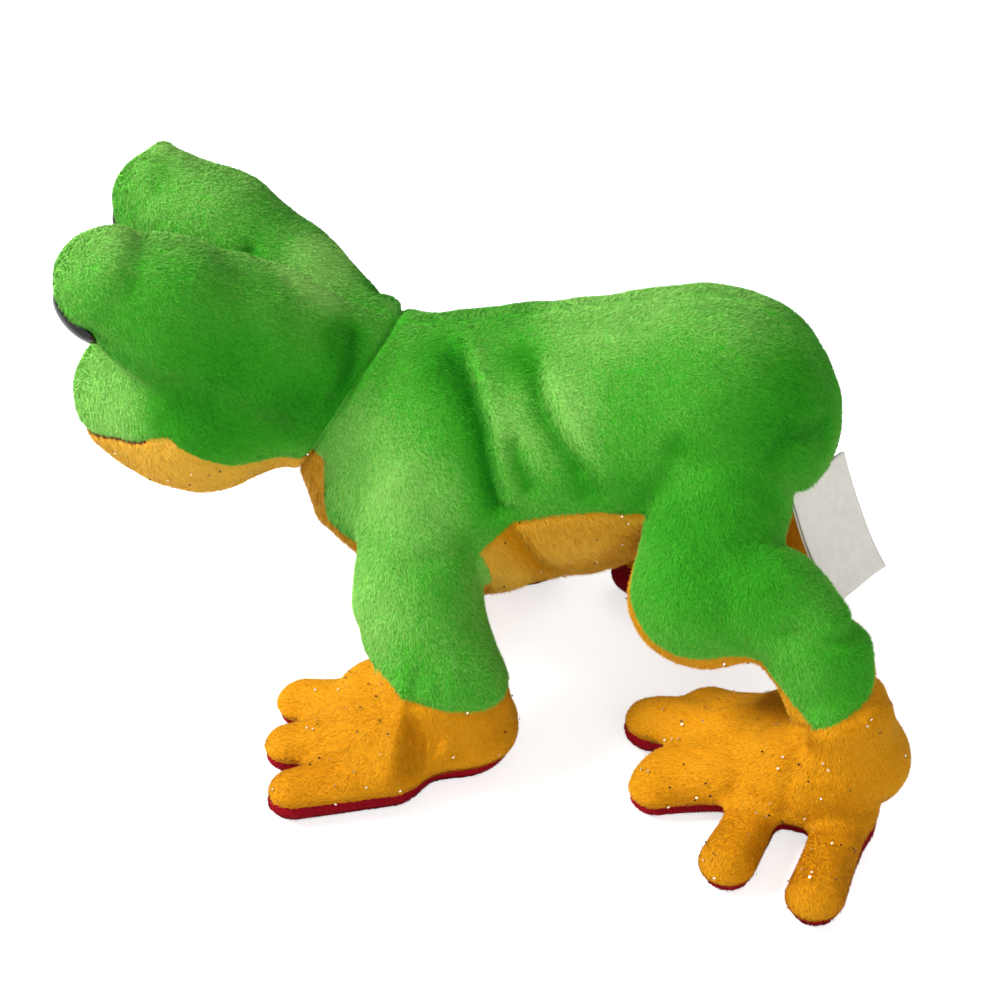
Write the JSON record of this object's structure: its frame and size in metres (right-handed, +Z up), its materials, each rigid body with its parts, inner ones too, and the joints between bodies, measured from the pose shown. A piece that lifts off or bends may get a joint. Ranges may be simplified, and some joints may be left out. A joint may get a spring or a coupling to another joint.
{
  "type": "plush frog",
  "caption": "Plush frog standing on splayed padded feet, with long eye mounds, domed eyes and a turned head; head, legs, feet and label all hinge, as in a soft bean-filled animal.",
  "frame": {"origin": "centre of the outer box at the underside of the feet", "axes": "+X towards the rump, the head looks along -X, +Y towards the right legs, +Z up"},
  "size_m": [0.2342, 0.1808, 0.1356],
  "materials": {
    "green_pile": "short pile, brushed, soft sheen",
    "orange_pile": "short pile with scattered tiny foil dots",
    "red_pile": "short pile, deep red",
    "eye_plastic": "polished black",
    "washer_plastic": "moulded white",
    "fibre": "loose white fibre",
    "pellets": "small plastic beads",
    "satin": "smooth woven satin, bare"
  },
  "bodies": {
    "torso": {"body_panel_left": "green_pile", "body_panel_right": "green_pile", "belly_panel": "orange_pile", "body_stuffing": "fibre", "pellet_fill": "pellets"},
    "head": {"head_panel_left": "green_pile", "head_panel_right": "green_pile", "jaw_panel": "orange_pile", "mouth_lining": "red_pile", "head_stuffing": "fibre", "eye_left": "eye_plastic", "eye_right": "eye_plastic", "eye_washer_left": "washer_plastic", "eye_washer_right": "washer_plastic"},
    "label": {"sewn_in_label": "satin"},
    "left_front_leg": {"left_front_leg_outer": "green_pile", "left_front_leg_inner": "orange_pile", "left_front_leg_stuffing": "fibre"},
    "left_front_foot": {"left_front_foot_top": "orange_pile", "left_front_foot_sole": "red_pile", "left_front_foot_wadding": "fibre"},
    "right_front_leg": {"right_front_leg_outer": "green_pile", "right_front_leg_inner": "orange_pile", "right_front_leg_stuffing": "fibre"},
    "right_front_foot": {"right_front_foot_top": "orange_pile", "right_front_foot_sole": "red_pile", "right_front_foot_wadding": "fibre"},
    "left_hind_leg": {"left_hind_leg_outer": "green_pile", "left_hind_leg_inner": "orange_pile", "left_hind_leg_stuffing": "fibre"},
    "left_hind_foot": {"left_hind_foot_top": "orange_pile", "left_hind_foot_sole": "red_pile", "left_hind_foot_wadding": "fibre"},
    "right_hind_leg": {"right_hind_leg_outer": "green_pile", "right_hind_leg_inner": "orange_pile", "right_hind_leg_stuffing": "fibre"},
    "right_hind_foot": {"right_hind_foot_top": "orange_pile", "right_hind_foot_sole": "red_pile", "right_hind_foot_wadding": "fibre"}
  },
  "joints": [
    {"name": "neck_nod", "type": "hinge", "parent": "torso", "child": "head", "pos_m": [-0.03873, -0.00173, 0.087], "axis": [0, 1, 0], "range_deg": [-8, 18], "deforming": ["body_panel_left", "body_panel_right", "belly_panel"]},
    {"name": "left_front_shoulder", "type": "hinge", "parent": "torso", "child": "left_front_leg", "pos_m": [-0.01473, -0.02573, 0.065], "axis": [0, 1, 0], "range_deg": [-14, 18], "deforming": ["left_front_leg_outer", "left_front_leg_inner"]},
    {"name": "left_front_ankle", "type": "hinge", "parent": "left_front_leg", "child": "left_front_foot", "pos_m": [-0.00373, -0.04773, 0.0265], "axis": [0, 1, 0], "range_deg": [-12, 11]},
    {"name": "right_front_shoulder", "type": "hinge", "parent": "torso", "child": "right_front_leg", "pos_m": [-0.01473, 0.02227, 0.065], "axis": [0, 1, 0], "range_deg": [0, 18], "deforming": ["right_front_leg_outer", "right_front_leg_inner"]},
    {"name": "right_front_ankle", "type": "hinge", "parent": "right_front_leg", "child": "right_front_foot", "pos_m": [-0.00973, 0.04327, 0.0265], "axis": [0, 1, 0], "range_deg": [-12, 11]},
    {"name": "left_hind_hip", "type": "hinge", "parent": "torso", "child": "left_hind_leg", "pos_m": [0.06227, -0.02373, 0.081], "axis": [0, 1, 0], "range_deg": [-15, 11], "deforming": ["left_hind_leg_outer", "left_hind_leg_inner"]},
    {"name": "left_hind_ankle", "type": "hinge", "parent": "left_hind_leg", "child": "left_hind_foot", "pos_m": [0.09977, -0.04573, 0.0365], "axis": [0, 1, 0], "range_deg": [-12, 11]},
    {"name": "right_hind_hip", "type": "hinge", "parent": "torso", "child": "right_hind_leg", "pos_m": [0.06227, 0.02027, 0.081], "axis": [0, 1, 0], "range_deg": [-15, 0], "deforming": ["right_hind_leg_outer", "right_hind_leg_inner"]},
    {"name": "right_hind_ankle", "type": "hinge", "parent": "right_hind_leg", "child": "right_hind_foot", "pos_m": [0.07777, 0.04627, 0.0365], "axis": [0, 1, 0], "range_deg": [-12, 11]},
    {"name": "label_flap", "type": "hinge", "parent": "torso", "child": "label", "pos_m": [0.08537, -0.01003, 0.0774], "axis": [-0.4067, -0.9136, 0], "range_deg": [-12, 50], "deforming": ["sewn_in_label"]}
  ]
}
